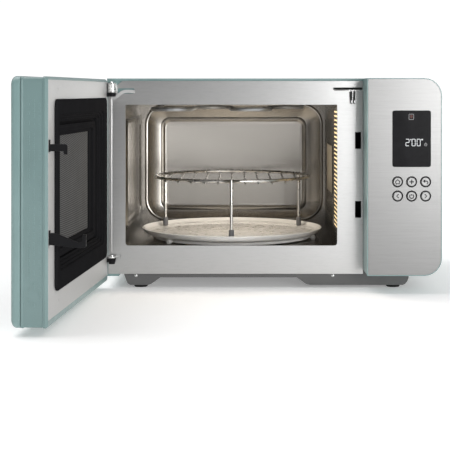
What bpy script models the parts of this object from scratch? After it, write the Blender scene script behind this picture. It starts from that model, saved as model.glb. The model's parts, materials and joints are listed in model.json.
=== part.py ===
"""Counter-top microwave oven with its door open: casing, oven, door, controls and works.

Sizes are in millimetres and are turned into metres by the shape helpers. The casing is
laid out with X across, Y to the back from the front fascia and Z up from the floor. The
door is laid out closed, from its hinge axis, and an empty on that axis swings it open.
At the end everything is shifted so that the origin is under the middle of the open oven.
"""

import math

import bmesh
import bpy
from mathutils import Matrix, Vector

MM = 0.001
GAP = 0.3  # clearance between touching pieces

# Casing
HALF_WIDTH = 244.5
TOP = 311.4
DEPTH = 338.0
SHEET = 1.2
CORNER_R = 25.8  # the casing's right-hand corners
LEFT_BOTTOM = 17.0
RIGHT_BOTTOM = 26.3

# Front fascia and oven
FASCIA_LEFT, FASCIA_RIGHT = -242.5, 136.5
FASCIA_BOTTOM, FASCIA_TOP = 20.6, 307.6
FASCIA_THICK = 1.0
OVEN_LEFT, OVEN_RIGHT = -216.9, 98.1
OVEN_BOTTOM, OVEN_TOP = 62.8, 272.4
CAVITY_FLOOR, CAVITY_CEILING = 57.8, 277.0
CAVITY_SIDE = 2.0  # the side walls stand this far outside the opening
CAVITY_DEPTH = 290.0
DISH_DEPTH = 12.0  # the back wall's dished middle
LATCH_X = 129.25
LATCH_SLOT = (9.0, 25.0)
LATCH_Z = {"upper": 219.15, "lower": 116.45}

# Door, laid out closed from the hinge axis
AXIS_X, AXIS_Y = -236.5, -7.0
OPEN_DEG = 94.8
DOOR_HINGE_SIDE, DOOR_FREE_END = -5.0, 371.5
DOOR_INSIDE, DOOR_OUTSIDE = -7.0, -53.0
DOOR_BOTTOM, DOOR_TOP = 9.5, 310.5
BEZEL_DEPTH = 12.8
HOOK_X = 364.0
HOOK_THICK = 4.0

# Control panel
PANEL_LEFT = FASCIA_RIGHT + GAP
PANEL_FRONT = AXIS_Y + DOOR_OUTSIDE
DISPLAY = ((173.3, 183.6), (228.1, 264.2))
BUTTON_X = (180.5, 200.65, 220.8)
BUTTON_Z = (161.9, 141.4)
BUTTON_R = 6.45
BUTTON_HOLE_R = 8.1

# Turntable
TABLE_X, TABLE_Y = -59.4, 145.0
PLATE_R = 144.0
PLATE_TOP = 70.0
PLATE_UNDER = 66.15
ROLLER_R = 3.85
ROLLER_TRACK_R = 133.0
ROLLER_ANGLES = (-136.0, -16.0, 104.0)
RACK_R = 123.0
RACK_TOP = 159.0
RACK_BARS = 11
RACK_PITCH = 20.4
LEG_R = 127.6
LEG_ANGLES = (-90.0, 30.0, 150.0)

# Cooling fan
FAN_X, FAN_Z = 176.0, 215.0
FAN_R = 44.0

FEET = {"front_left": (-195.0, 14.0), "front_right": (182.6, 14.0),
        "rear_left": (-195.0, 305.0), "rear_right": (182.6, 305.0)}

TEAL = (0.27, 0.38, 0.37)
STEEL = (0.52, 0.52, 0.51)
BLACK = (0.015, 0.015, 0.016)


# ---------------------------------------------------------------- scene and materials

def clear_scene():
    for obj in list(bpy.data.objects):
        bpy.data.objects.remove(obj, do_unlink=True)
    for name in ("microwave_oven", "cutters"):
        bpy.context.scene.collection.children.link(bpy.data.collections.new(name))


def material(name, colour, roughness, metallic=0.0):
    made = bpy.data.materials.get(name)
    if made is None:
        made = bpy.data.materials.new(name)
        made.use_nodes = True
        shader = made.node_tree.nodes["Principled BSDF"]
        shader.inputs["Base Color"].default_value = (*colour, 1.0)
        shader.inputs["Roughness"].default_value = roughness
        shader.inputs["Metallic"].default_value = metallic
    return made


def teal_paint():
    return material("teal_paint", TEAL, 0.42)


def satin_steel():
    return material("satin_steel", STEEL, 0.36, 1.0)


def oven_steel():
    return material("oven_steel", (0.42, 0.39, 0.36), 0.3, 1.0)


def zinc_steel():
    return material("zinc_steel", (0.16, 0.16, 0.16), 0.5, 0.6)


def chrome():
    return material("chrome", (0.8, 0.8, 0.8), 0.12, 1.0)


def black_plastic():
    return material("black_plastic", BLACK, 0.4)


def black_glass():
    return material("black_glass", (0.02, 0.02, 0.022), 0.08)


def white_plastic():
    return material("white_plastic", (0.8, 0.8, 0.78), 0.45)


# ---------------------------------------------------------------- shape helpers

def add_object(name, mesh, paint, parent, location=(0, 0, 0), rotation=(0, 0, 0)):
    """A named part, placed in its parent's frame; location is in millimetres."""
    obj = bpy.data.objects.new(name, mesh)
    bpy.data.collections["microwave_oven"].objects.link(obj)
    obj.data.materials.clear()
    obj.data.materials.append(paint)
    obj.parent = parent
    obj.location = Vector(location) * MM
    obj.rotation_euler = rotation
    return obj


def tool(name, mesh, parent):
    """A helper solid for a Boolean, kept out of the model."""
    obj = bpy.data.objects.new(name, mesh)
    bpy.data.collections["cutters"].objects.link(obj)
    obj.parent = parent
    obj.hide_render = True
    obj.display_type = "WIRE"
    return obj


def combine(obj, operation, mesh):
    """Cut mesh from obj, or join it on: operation is DIFFERENCE or UNION."""
    other = tool(f"{obj.name}_{operation.lower()}_{len(obj.modifiers)}", mesh, obj.parent)
    if obj.location.length > 0:
        other.location = obj.location
        other.rotation_euler = obj.rotation_euler
    change = obj.modifiers.new(other.name, "BOOLEAN")
    change.operation = operation
    change.object = other
    change.solver = "EXACT"


def cut(obj, *meshes):
    for mesh in meshes:
        combine(obj, "DIFFERENCE", mesh)


def join(obj, *meshes):
    for mesh in meshes:
        combine(obj, "UNION", mesh)


def box(low, high, bevel=0.0, segments=2):
    """A box mesh between two corners, with all its edges rounded if bevel is given."""
    mesh = bpy.data.meshes.new("box")
    low, high = Vector(low) * MM, Vector(high) * MM
    work = bmesh.new()
    bmesh.ops.create_cube(work, size=1.0)
    bmesh.ops.scale(work, vec=high - low, verts=work.verts)
    bmesh.ops.translate(work, vec=(low + high) / 2, verts=work.verts)
    if bevel:
        bmesh.ops.bevel(work, geom=work.edges[:], offset=bevel * MM, segments=segments,
                        profile=0.5, affect="EDGES")
    work.to_mesh(mesh)
    work.free()
    return mesh


def axis_matrix(axis):
    """The turn that carries +Z to the named axis."""
    turns = {"X": Matrix.Rotation(math.pi / 2, 4, "Y"),
             "Y": Matrix.Rotation(-math.pi / 2, 4, "X"), "Z": Matrix.Identity(4)}
    return turns[axis]


def cylinder(centre, radius, length, axis="Z", sides=24, radius_end=None):
    """A cylinder or cone mesh about centre; radius_end is the radius at the axis's far end."""
    mesh = bpy.data.meshes.new("cylinder")
    far_radius = radius if radius_end is None else radius_end
    work = bmesh.new()
    bmesh.ops.create_cone(work, cap_ends=True, segments=sides, radius1=radius * MM,
                          radius2=far_radius * MM, depth=length * MM)
    place = Matrix.Translation(Vector(centre) * MM) @ axis_matrix(axis)
    bmesh.ops.transform(work, matrix=place, verts=work.verts)
    work.to_mesh(mesh)
    work.free()
    return mesh


def joined(*meshes):
    """Several separate solids as one mesh, to be used as a Boolean's helper."""
    mesh = bpy.data.meshes.new("joined")
    work = bmesh.new()
    for part in meshes:
        work.from_mesh(part)
    work.to_mesh(mesh)
    work.free()
    return mesh


def arc(centre, radius, start_deg, end_deg, steps):
    points = []
    for step in range(steps + 1):
        angle = math.radians(start_deg + (end_deg - start_deg) * step / steps)
        points.append((centre[0] + radius * math.cos(angle),
                       centre[1] + radius * math.sin(angle)))
    return points


def rounded_rectangle(low, high, radii, steps=4):
    """Anticlockwise outline; radii go bottom left, bottom right, top right, top left."""
    corners = ((low[0], low[1], 1, 1, 180), (high[0], low[1], -1, 1, 270),
               (high[0], high[1], -1, -1, 0), (low[0], high[1], 1, -1, 90))
    points = []
    for (x, y, inward_x, inward_y, start), radius in zip(corners, radii):
        if radius:
            centre = (x + inward_x * radius, y + inward_y * radius)
            points += arc(centre, radius, start, start + 90, steps)
        else:
            points.append((x, y))
    return points


def extruded(outline, low, high, axis="Y", holes=()):
    """A flat outline, with any holes, made solid between low and high along an axis.

    Along Y the outline's points are (x, z), along X they are (y, z), along Z (x, y).
    """
    curve = bpy.data.curves.new("outline", "CURVE")
    curve.dimensions = "2D"
    curve.fill_mode = "BOTH"
    curve.extrude = (high - low) / 2 * MM
    for points in (outline, *holes):
        spline = curve.splines.new("POLY")
        spline.points.add(len(points) - 1)
        spline.use_cyclic_u = True
        for point, (x, y) in zip(spline.points, points):
            point.co = (x * MM, y * MM, 0, 1)
    mesh = mesh_from_curve(curve)
    middle = (low + high) / 2 * MM
    turns = {"Y": Matrix.Translation((0, middle, 0)) @ Matrix.Rotation(math.pi / 2, 4, "X"),
             "X": Matrix.Translation((middle, 0, 0))
             @ Matrix.Rotation(math.pi / 2, 4, "Z") @ Matrix.Rotation(math.pi / 2, 4, "X"),
             "Z": Matrix.Translation((0, 0, middle))}
    mesh.transform(turns[axis])
    return mesh


def mesh_from_curve(curve):
    """The curve's solid as a mesh with its caps welded on."""
    guide = bpy.data.objects.new("guide", curve)
    bpy.context.scene.collection.objects.link(guide)
    graph = bpy.context.evaluated_depsgraph_get()
    mesh = bpy.data.meshes.new_from_object(guide.evaluated_get(graph))
    bpy.data.objects.remove(guide, do_unlink=True)
    work = bmesh.new()
    work.from_mesh(mesh)
    bmesh.ops.remove_doubles(work, verts=work.verts, dist=1e-6)
    bmesh.ops.recalc_face_normals(work, faces=work.faces)
    work.to_mesh(mesh)
    work.free()
    return mesh


def tube(points, radius, closed=False):
    """A round bar of the given radius through the points."""
    curve = bpy.data.curves.new("bar", "CURVE")
    curve.dimensions = "3D"
    curve.bevel_depth = radius * MM
    curve.bevel_resolution = 2
    curve.use_fill_caps = True
    spline = curve.splines.new("POLY")
    spline.points.add(len(points) - 1)
    spline.use_cyclic_u = closed
    for point, place in zip(spline.points, points):
        point.co = (*(Vector(place) * MM), 1)
    return mesh_from_curve(curve)


def turned(profile, centre, axis="Z", steps=32):
    """A solid of revolution. The profile is (radius, height), from the top centre down."""
    mesh = bpy.data.meshes.new("turned")
    work = bmesh.new()
    rim = [work.verts.new((radius * MM, 0, height * MM)) for radius, height in profile]
    for first, second in zip(rim, rim[1:]):
        work.edges.new((first, second))
    bmesh.ops.spin(work, geom=work.verts[:] + work.edges[:], cent=(0, 0, 0), axis=(0, 0, 1),
                   angle=2 * math.pi, steps=steps)
    bmesh.ops.remove_doubles(work, verts=work.verts, dist=1e-6)
    bmesh.ops.recalc_face_normals(work, faces=work.faces)
    place = Matrix.Translation(Vector(centre) * MM) @ axis_matrix(axis)
    bmesh.ops.transform(work, matrix=place, verts=work.verts)
    work.to_mesh(mesh)
    work.free()
    return mesh


def round_rim(mesh, height, width, segments=3, clamp=True):
    """Round the outline edges of the face that lies in the plane Y = height."""
    work = bmesh.new()
    work.from_mesh(mesh)
    rim = [edge for edge in work.edges
           if all(abs(vert.co.y - height * MM) < 1e-6 for vert in edge.verts)
           and edge.calc_face_angle(0.0) > 0.5]
    bmesh.ops.bevel(work, geom=rim, offset=width * MM, segments=segments, profile=0.5,
                    affect="EDGES", clamp_overlap=clamp)
    work.to_mesh(mesh)
    work.free()
    return mesh


def shade_round(obj):
    obj.data.shade_smooth()
    obj.data.set_sharp_from_angle(angle=math.radians(35))
    return obj


def empty(name, location, parent, turn_deg=0.0):
    """A frame for moving parts; its origin is the joint's axis."""
    obj = bpy.data.objects.new(name, None)
    bpy.data.collections["microwave_oven"].objects.link(obj)
    obj.parent = parent
    obj.location = Vector(location) * MM
    obj.rotation_euler.z = math.radians(turn_deg)
    return obj


# ---------------------------------------------------------------- casing

def casing_path(inset):
    """The cover's section, from its left lip over the top to its right lip."""
    half, top, radius = HALF_WIDTH - inset, TOP - inset, CORNER_R - inset
    centre_x = HALF_WIDTH - CORNER_R
    right = arc((centre_x, TOP - CORNER_R), radius, 90, 0, 6)
    right += arc((centre_x, RIGHT_BOTTOM + CORNER_R), radius, 0, -90, 6)
    left = [(-226.5, LEFT_BOTTOM + inset), (-half, LEFT_BOTTOM + inset), (-half, top)]
    return left + right


def casing_band(thickness):
    return casing_path(0) + casing_path(thickness)[::-1]


def make_outer_cover(root):
    cover = add_object("outer_cover", extruded(casing_band(SHEET), 1.3, DEPTH),
                       teal_paint(), root)
    flange = extruded(casing_band(3.6), 1.3, 2.5)
    gusset = box((-HALF_WIDTH + 0.6, 2.1, 286), (-216, 3.3, TOP - 0.6))
    join(cover, flange, gusset)


def pan_outline(drop):
    """The base pan's front view, with its two embossed legs; drop lowers every face."""
    floor, leg = 15.0 + drop, 3.6 + drop
    left, right = -219.5 + drop, 205.5 - drop
    return [(right, 26.0), (PANEL_LEFT + 0.3, 26.0), (PANEL_LEFT + 0.3, 20.3), (left, 20.3),
            (left + 1.5, floor + 1), (-214 + drop, leg + 2.5), (-210, leg), (-184, leg),
            (-179 - drop, leg + 1.5), (-165, floor), (38, floor), (52 + drop, leg + 1.5),
            (58, leg), (196, leg), (199.5 - drop, leg + 1.5), (202.5 - drop, leg + 5),
            (204.7 - drop, floor - 1)]


def make_base_pan(root):
    pan = add_object("base_pan", extruded(pan_outline(0), 2.0, DEPTH), zinc_steel(), root)
    hollow = pan_outline(SHEET)
    hollow = [(x, z + 30 if z > 18.5 else z) for x, z in hollow]
    cut(pan, extruded(hollow, 2.0 + SHEET, DEPTH - SHEET))


def make_rear_panel(root):
    low, high = (-HALF_WIDTH, RIGHT_BOTTOM), (HALF_WIDTH, TOP)
    outline = rounded_rectangle(low, high, (0, CORNER_R, CORNER_R, 0), 6)
    vents = []
    for column in range(4):
        for row in range(7):
            x, z = 115 + column * 28, 140 + row * 22
            vents.append(rounded_rectangle((x, z), (x + 22, z + 4), (0, 0, 0, 0)))
    for column in range(7):
        x = -200 + column * 36
        vents.append(rounded_rectangle((x, 255), (x + 28, 259), (0, 0, 0, 0)))
    gland_hole = arc((215, 60), 8.3, 0, 337.5, 15)
    panel = extruded(outline, DEPTH + GAP, DEPTH + GAP + SHEET, holes=(*vents, gland_hole))
    add_object("rear_panel", panel, zinc_steel(), root)


def make_cord_gland(root):
    """The strain-relief bush that a mains lead would leave through."""
    y = DEPTH + GAP
    profile = [(3.6, 9), (7.2, 9), (7.8, 5), (10.5, 4), (10.5, 1.6), (8.0, 1.5), (8.0, -4),
               (3.6, -4), (3.6, 9)]
    gland = add_object("cord_gland", turned(profile, (215, y, 60), "Y", 24),
                       black_plastic(), root)
    shade_round(gland)


def make_feet(root):
    for name, (x, y) in FEET.items():
        profile = [(0, 3.3), (10.2, 3.3), (10.2, 1.0), (9.2, 0), (0, 0)]
        foot = add_object(f"foot_{name}", turned(profile, (0, 0, 0), "Z", 24),
                          material("rubber", BLACK, 0.8), root, location=(x, y, 0))
        shade_round(foot)


def make_base_screws(root):
    for name, x in (("left", -201.3), ("right", 91.9)):
        profile = [(0, 1.6), (1.6, 1.4), (2.6, 0.6), (2.8, 0), (0, 0)]
        screw = add_object(f"base_screw_{name}", turned(profile, (0, 0, 0), "Z", 20),
                           chrome(), root, location=(x, 1.7, 18.2),
                           rotation=(math.pi / 2, 0, 0))
        shade_round(screw)


# ---------------------------------------------------------------- fascia and oven

def slot_outline(centre, size, radius=0.0):
    low = (centre[0] - size[0] / 2, centre[1] - size[1] / 2)
    high = (centre[0] + size[0] / 2, centre[1] + size[1] / 2)
    return rounded_rectangle(low, high, (radius,) * 4, 3)


def make_front_fascia(root):
    outline = [(FASCIA_LEFT, FASCIA_BOTTOM), (FASCIA_RIGHT, FASCIA_BOTTOM),
               (FASCIA_RIGHT, FASCIA_TOP), (-221.5, FASCIA_TOP), (FASCIA_LEFT, 290.4)]
    holes = [rounded_rectangle((OVEN_LEFT, OVEN_BOTTOM), (OVEN_RIGHT, OVEN_TOP),
                               (4, 4, 1, 1), 3)]
    for z in LATCH_Z.values():
        holes.append(slot_outline((LATCH_X, z), LATCH_SLOT, 1))
    holes.append(slot_outline((114, 296.2), (43, 3.5)))
    holes.append(slot_outline((119, 282.9), (3.0, 19)))
    holes.append(slot_outline((123.5, 282.9), (3.0, 19)))
    holes.append(slot_outline((-216, 292.8), (25, 8), 2))
    holes.append(slot_outline((-232, 46.5), (16, 5)))
    panel = add_object("front_fascia", extruded(outline, 0, FASCIA_THICK, holes=holes),
                       satin_steel(), root)
    rolled = extruded(rounded_rectangle((OVEN_LEFT - 2.2, OVEN_BOTTOM - 2.2),
                                        (OVEN_RIGHT + 2.2, OVEN_TOP + 2.2), (6, 6, 3, 3), 3),
                      -1.2, 0.5, holes=holes[:1])
    join(panel, round_rim(rolled, -1.2, 0.8, 2))


def make_oven_cavity(root):
    left, right = OVEN_LEFT - CAVITY_SIDE, OVEN_RIGHT + CAVITY_SIDE
    front = FASCIA_THICK + GAP
    cavity = add_object(
        "oven_cavity",
        box((left - SHEET, front, CAVITY_FLOOR - SHEET),
            (right + SHEET, CAVITY_DEPTH + SHEET, CAVITY_CEILING + SHEET), 4, 1),
        oven_steel(), root)
    dish_low, dish_high = (-180.0, 90.0), (65.0, 245.0)
    join(cavity, box((dish_low[0], CAVITY_DEPTH - 5, dish_low[1]),
                     (dish_high[0], CAVITY_DEPTH + DISH_DEPTH + SHEET, dish_high[1]), 5, 1))
    inner = box((left, front - 30, CAVITY_FLOOR), (right, CAVITY_DEPTH, CAVITY_CEILING), 3, 1)
    dish = box((dish_low[0] + SHEET, CAVITY_DEPTH - 12, dish_low[1] + SHEET),
               (dish_high[0] - SHEET, CAVITY_DEPTH + DISH_DEPTH, dish_high[1] - SHEET), 4, 1)
    shaft_hole = cylinder((TABLE_X, TABLE_Y, CAVITY_FLOOR), 6, 10, "Z", 16)
    front_trim = box((left - 9, front - 9, 20), (right + 9, front, 320))
    cut(cavity, inner, dish, shaft_hole, front_trim)


def make_waveguide_cover(root):
    x = OVEN_RIGHT + CAVITY_SIDE
    sheet = box((x - 1.0, 120, 130), (x - 0.3, 230, 205))
    add_object("waveguide_cover", sheet, material("mica", (0.45, 0.4, 0.33), 0.5), root)


def make_grill_heater(root):
    """A sheathed element bent into three loops under the ceiling."""
    points = []
    runs = (-180.0, -120.0, -60.0, 0.0, 60.0)
    near, far, z = 55.0, 250.0, 265.0
    for index, (x, following) in enumerate(zip(runs, runs[1:])):
        radius = (following - x) / 2
        if index % 2 == 0:
            points += arc((x + radius, near), radius, 180, 360, 6)
        else:
            points += arc((x + radius, far), radius, 180, 0, 6)
    points = [(runs[0], CAVITY_DEPTH - 3)] + points + [(runs[-1], CAVITY_DEPTH - 3)]
    element = tube([(x, y, z) for x, y in points], 3.2)
    shade_round(add_object("grill_heater", element, zinc_steel(), root))


def make_cavity_lamp(root):
    profile = [(0, 26), (5, 25), (7, 20), (7, -4), (9, -5), (9, -20), (0, -20)]
    centre = (OVEN_RIGHT + 13, 52, 172)
    lamp = add_object("cavity_lamp", turned(profile, centre, "Z", 20),
                      material("lamp_glass", (0.9, 0.75, 0.4), 0.2), root)
    shade_round(lamp)


# ---------------------------------------------------------------- works

def make_magnetron(root):
    centre = (165, 118, 172)
    tower = add_object("magnetron", cylinder(centre, 19, 84, "Z", 16),
                       material("anode", (0.55, 0.5, 0.42), 0.35, 1.0), root)
    plates = [box((130, 85, z), (200, 151, z + 2.4)) for z in (133, 150, 167, 184, 203)]
    launcher = cylinder((131, 118, 172), 10, 38, "X", 16)
    join(tower, joined(*plates), launcher)


def make_waveguide(root):
    x = OVEN_RIGHT + CAVITY_SIDE + SHEET + GAP
    duct = add_object("waveguide", box((x, 75, 122), (x + 24, 235, 222), 2, 1),
                      zinc_steel(), root)
    hollow = box((x + SHEET, 75 + SHEET, 122 + SHEET), (x + 24 - SHEET, 235 - SHEET, 222 - SHEET))
    feed = box((x - 2, 125, 135), (x + 5, 225, 200))
    launcher_hole = cylinder((x + 22, 118, 172), 10.5, 12, "X", 16)
    cut(duct, joined(hollow), feed, launcher_hole)


def make_transformer(root):
    core = add_object("transformer", box((117, 200, 17), (202, 268, 92), 1.5, 1),
                      zinc_steel(), root)
    coils = box((134, 186, 33), (184, 282, 76), 5, 2)
    join(core, coils)


def make_capacitor(root):
    outline = arc((156, 40), 16, 90, 270, 8) + arc((185, 40), 16, -90, 90, 8)
    can = extruded(outline, 78, 160)
    add_object("capacitor", can, material("aluminium", (0.7, 0.7, 0.7), 0.35, 1.0), root)


def make_mains_filter(root):
    board = add_object("mains_filter", box((140, 60, 282), (215, 130, 283.6)),
                       material("board_green", (0.03, 0.16, 0.07), 0.5), root)
    choke = turned([(5, 8), (12, 8), (12, -8), (5, -8), (5, 8)], (165, 95, 291.3), "Z", 16)
    block = box((185, 75, 282.5), (205, 115, 298))
    join(board, choke, block)


def make_cooling_fan(root):
    motor = add_object("fan_motor", box((FAN_X - 24, 272, FAN_Z - 24),
                                        (FAN_X + 24, 300, FAN_Z + 24), 3, 2),
                       zinc_steel(), root)
    shaft = cylinder((FAN_X, 306, FAN_Z), 2.5, 26, "Y", 16)
    join(motor, shaft)
    pivot = empty("fan_axis", (FAN_X, 318, FAN_Z), root)
    blade = add_object("fan_blade", cylinder((0, 0, 0), 12, 16, "Y", 24),
                       black_plastic(), pivot)
    vanes = []
    for index in range(5):
        vane = box((8, -1, -13), (FAN_R, 1, 13))
        tilt = Matrix.Rotation(math.radians(24), 4, "X")
        turn = Matrix.Rotation(math.radians(72 * index), 4, "Y")
        vane.transform(turn @ tilt)
        vanes.append(vane)
    bore = cylinder((0, -5, 0), 2.8, 14, "Y", 16)
    for vane in vanes:
        join(blade, vane)
    cut(blade, bore)


def make_latch_housing(root):
    low, high = (119, 1.5, 92), (152, 44, 243)
    housing = add_object("latch_housing", box(low, high, 2, 1), black_plastic(), root)
    pockets = []
    for z in LATCH_Z.values():
        pockets.append(box((LATCH_X - 6.5, -5, z - 15), (LATCH_X + 6.5, 41, z + 15)))
    waist = box((134, -5, 137), (160, 60, 198))
    cut(housing, joined(*pockets), waist)


def make_interlock_switch(root):
    body = box((135.5, 8, 155), (151, 40, 178), 1, 1)
    add_object("interlock_switch", body, material("red_plastic", (0.3, 0.03, 0.03), 0.5), root)


# ---------------------------------------------------------------- controls

def panel_outline(inset):
    low = (PANEL_LEFT + inset, RIGHT_BOTTOM + inset)
    high = (HALF_WIDTH - inset, TOP - inset)
    radius = CORNER_R - inset
    return rounded_rectangle(low, high, (1, radius, radius, 1), 6)


def make_control_housing(root):
    shell = round_rim(extruded(panel_outline(0), PANEL_FRONT, FASCIA_THICK), PANEL_FRONT, 1, 2)
    housing = add_object("control_housing", shell, teal_paint(), root)
    pocket = extruded(panel_outline(1.0), PANEL_FRONT - 5, PANEL_FRONT + 1.3)
    window = box((168, PANEL_FRONT - 1, 128), (233, -50, 270))
    hollow = extruded(panel_outline(2.6), PANEL_FRONT + 3.8, 5)
    cut(housing, pocket, hollow, window)


def make_control_fascia(root):
    (left, low), (right, high) = DISPLAY
    grow = 0.4
    holes = [rounded_rectangle((left - grow, low - grow), (right + grow, high + grow),
                               (3, 3, 3, 3), 3)]
    for x in BUTTON_X:
        for z in BUTTON_Z:
            holes.append(arc((x, z), BUTTON_HOLE_R, 0, 340, 17))
    plate = extruded(panel_outline(1.3), PANEL_FRONT + 0.1, PANEL_FRONT + 1.0, holes=holes)
    add_object("control_fascia", plate, satin_steel(), root)


def make_display_window(root):
    (left, low), (right, high) = DISPLAY
    pane = extruded(rounded_rectangle((left, low), (right, high), (2.6,) * 4, 3),
                    PANEL_FRONT - 0.1, PANEL_FRONT + 2.2)
    add_object("display_window", pane, black_glass(), root)


def make_button_carrier(root):
    holes = [arc((x, z), 3.4, 0, 330, 11) for x in BUTTON_X for z in BUTTON_Z]
    outline = rounded_rectangle((169, 129), (232, 177), (2,) * 4, 2)
    plate = extruded(outline, PANEL_FRONT + 1.6, PANEL_FRONT + 3.1, holes=holes)
    add_object("button_carrier", plate, black_plastic(), root)


def make_control_board(root):
    board = add_object("control_board", box((166, -53, 132), (235, -51.4, 268)),
                       material("board_green", (0.03, 0.16, 0.07), 0.5), root)
    relay = box((175, -52, 145), (195, -38, 165))
    chip = box((205, -52, 195), (225, -48, 225))
    join(board, relay, chip)


def make_buttons(root):
    number = 0
    for z in BUTTON_Z:
        for x in BUTTON_X:
            number += 1
            profile = [(0, 0.9), (5.6, 0.9), (BUTTON_R, 0.1), (BUTTON_R, -0.5),
                       (3.0, -0.5), (3.0, -5.6), (0, -5.6)]
            button = add_object(f"button_{number}", turned(profile, (0, 0, 0), "Z", 20),
                                chrome(), root, location=(x, PANEL_FRONT, z),
                                rotation=(math.pi / 2, 0, 0))
            shade_round(button)


# ---------------------------------------------------------------- turntable and rack

def make_turntable_plate(table):
    profile = [(0, PLATE_TOP), (134, PLATE_TOP), (138, 71.4), (141.5, 75.6), (143, 76),
               (PLATE_R, 75), (140, 68.6), (134, PLATE_UNDER), (0, PLATE_UNDER)]
    plate = add_object("turntable_plate", turned(profile, (0, 0, 0), "Z", 56),
                       material("oven_glass", (0.6, 0.57, 0.54), 0.08), table)
    shade_round(plate)


def make_drive_coupler(table):
    hub = add_object("drive_coupler", cylinder((0, 0, 61.8), 8, 7.4, "Z", 24),
                     white_plastic(), table)
    arms = []
    for index in range(3):
        arm = box((0, -4, 60.5), (19, 4, 65.5))
        arm.transform(Matrix.Rotation(math.radians(120 * index + 60), 4, "Z"))
        arms.append(arm)
    shaft = cylinder((0, 0, 53.5), 3.5, 13, "Z", 16)
    join(hub, *arms, shaft)


def make_turntable_motor(root):
    body = turned([(0, 16), (22, 16), (24, 14), (24, 0), (0, 0)],
                  (TABLE_X, TABLE_Y, 30.4), "Z", 24)
    motor = add_object("turntable_motor", body, zinc_steel(), root)
    shade_round(motor)


def make_roller_ring(ring):
    profile = [(116, 64), (126, 64), (126, 60.5), (116, 60.5), (116, 64)]
    frame = add_object("roller_ring", turned(profile, (0, 0, 0), "Z", 36),
                       white_plastic(), ring)
    pins = []
    for angle in ROLLER_ANGLES:
        pin = cylinder((ROLLER_TRACK_R - 3, 0, 62), 1.2, 14, "X", 10)
        pin.transform(Matrix.Rotation(math.radians(angle), 4, "Z"))
        pins.append(pin)
    join(frame, joined(*pins))


def make_rollers(ring):
    profile = [(1.5, 3), (3.3, 3), (ROLLER_R, 2.4), (ROLLER_R, -2.4), (3.3, -3), (1.5, -3),
               (1.5, 3)]
    for number, angle in enumerate(ROLLER_ANGLES, 1):
        turn = math.radians(angle)
        place = (ROLLER_TRACK_R * math.cos(turn), ROLLER_TRACK_R * math.sin(turn), 62)
        roller = add_object(f"roller_{number}", turned(profile, (0, 0, 0), "X", 16),
                            white_plastic(), ring, location=place, rotation=(0, 0, turn))
        shade_round(roller)


def make_wire_rack(table):
    wire, bar = 2.4, 1.6
    level = RACK_TOP - wire
    hoop = turned(arc((RACK_R, level), wire, 90, -270, 6), (0, 0, 0), "Z", 48)
    rack = add_object("wire_rack", hoop, chrome(), table)
    bars = []
    for index in range(RACK_BARS):
        x = (index - (RACK_BARS - 1) / 2) * RACK_PITCH
        reach = math.sqrt(RACK_R ** 2 - x ** 2) + 5
        bars.append(cylinder((x, 0, level - 3.3), bar, 2 * reach, "Y", 6))
    legs = []
    for angle in LEG_ANGLES:
        leg = cylinder((LEG_R - 0.4, 0, (RACK_TOP + 73) / 2), wire, RACK_TOP - 73, "Z", 8)
        leg.transform(Matrix.Rotation(math.radians(angle), 4, "Z"))
        legs.append(leg)
    join(rack, joined(*bars), joined(*legs))
    shade_round(rack)


def make_rack_feet(table):
    profile = [(0, 72.4), (2.8, 72.4), (2.8, 84), (4.0, 84), (4.2, 71.5), (3.4, 70.3),
               (0, 70.3)]
    for number, angle in enumerate(LEG_ANGLES, 1):
        turn = math.radians(angle)
        place = ((LEG_R - 0.4) * math.cos(turn), (LEG_R - 0.4) * math.sin(turn), 0)
        foot = add_object(f"rack_foot_{number}", turned(profile, (0, 0, 0), "Z", 16),
                          material("silicone", (0.25, 0.25, 0.25), 0.7), table,
                          location=place)
        shade_round(foot)


# ---------------------------------------------------------------- hinges

def make_hinge_brackets(root):
    upper = add_object("hinge_bracket_upper",
                       cylinder((AXIS_X, AXIS_Y, 297.3), 6.4, 14.6, "Z", 24), chrome(), root)
    pin = cylinder((AXIS_X, AXIS_Y, 296.5), 2.5, 25, "Z", 16)
    tongue = box((-240, AXIS_Y, 300.0), (-234, 1.0, 303.8))
    join(upper, pin, tongue)

    lower = add_object("hinge_bracket_lower",
                       cylinder((AXIS_X, AXIS_Y, 46.5), 6.4, 3, "Z", 24), chrome(), root)
    pin = cylinder((AXIS_X, AXIS_Y, 44), 2.5, 11, "Z", 16)
    tongue = box((-239, AXIS_Y, 45.3), (-226, 12, 47.7))
    join(lower, pin, tongue)


def make_hinge_bushes(door):
    reach = DOOR_INSIDE + GAP
    upper = add_object("hinge_bush_upper", cylinder((0, 0, 287.0), 5.8, 5.4, "Z", 20),
                       black_plastic(), door)
    join(upper, box((-4.6, reach, 284.3), (4.6, -4, 289.7)))
    cut(upper, cylinder((0, 0, 288), 2.8, 8, "Z", 16))

    lower = add_object("hinge_bush_lower",
                       cylinder((0, 0, 40.6), 4.4, 8.2, "Z", 20, 6.0),
                       black_plastic(), door)
    join(lower, box((-4.2, reach, 39.5), (4.2, -3, 44.7)))
    cut(lower, cylinder((0, 0, 43), 2.8, 9.4, "Z", 16))


# ---------------------------------------------------------------- door

def door_outline(inset, radius):
    low = (DOOR_HINGE_SIDE + inset, DOOR_BOTTOM + inset)
    high = (DOOR_FREE_END - inset, DOOR_TOP - inset)
    return rounded_rectangle(low, high, (radius, radius, radius, radius), 5)


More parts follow.
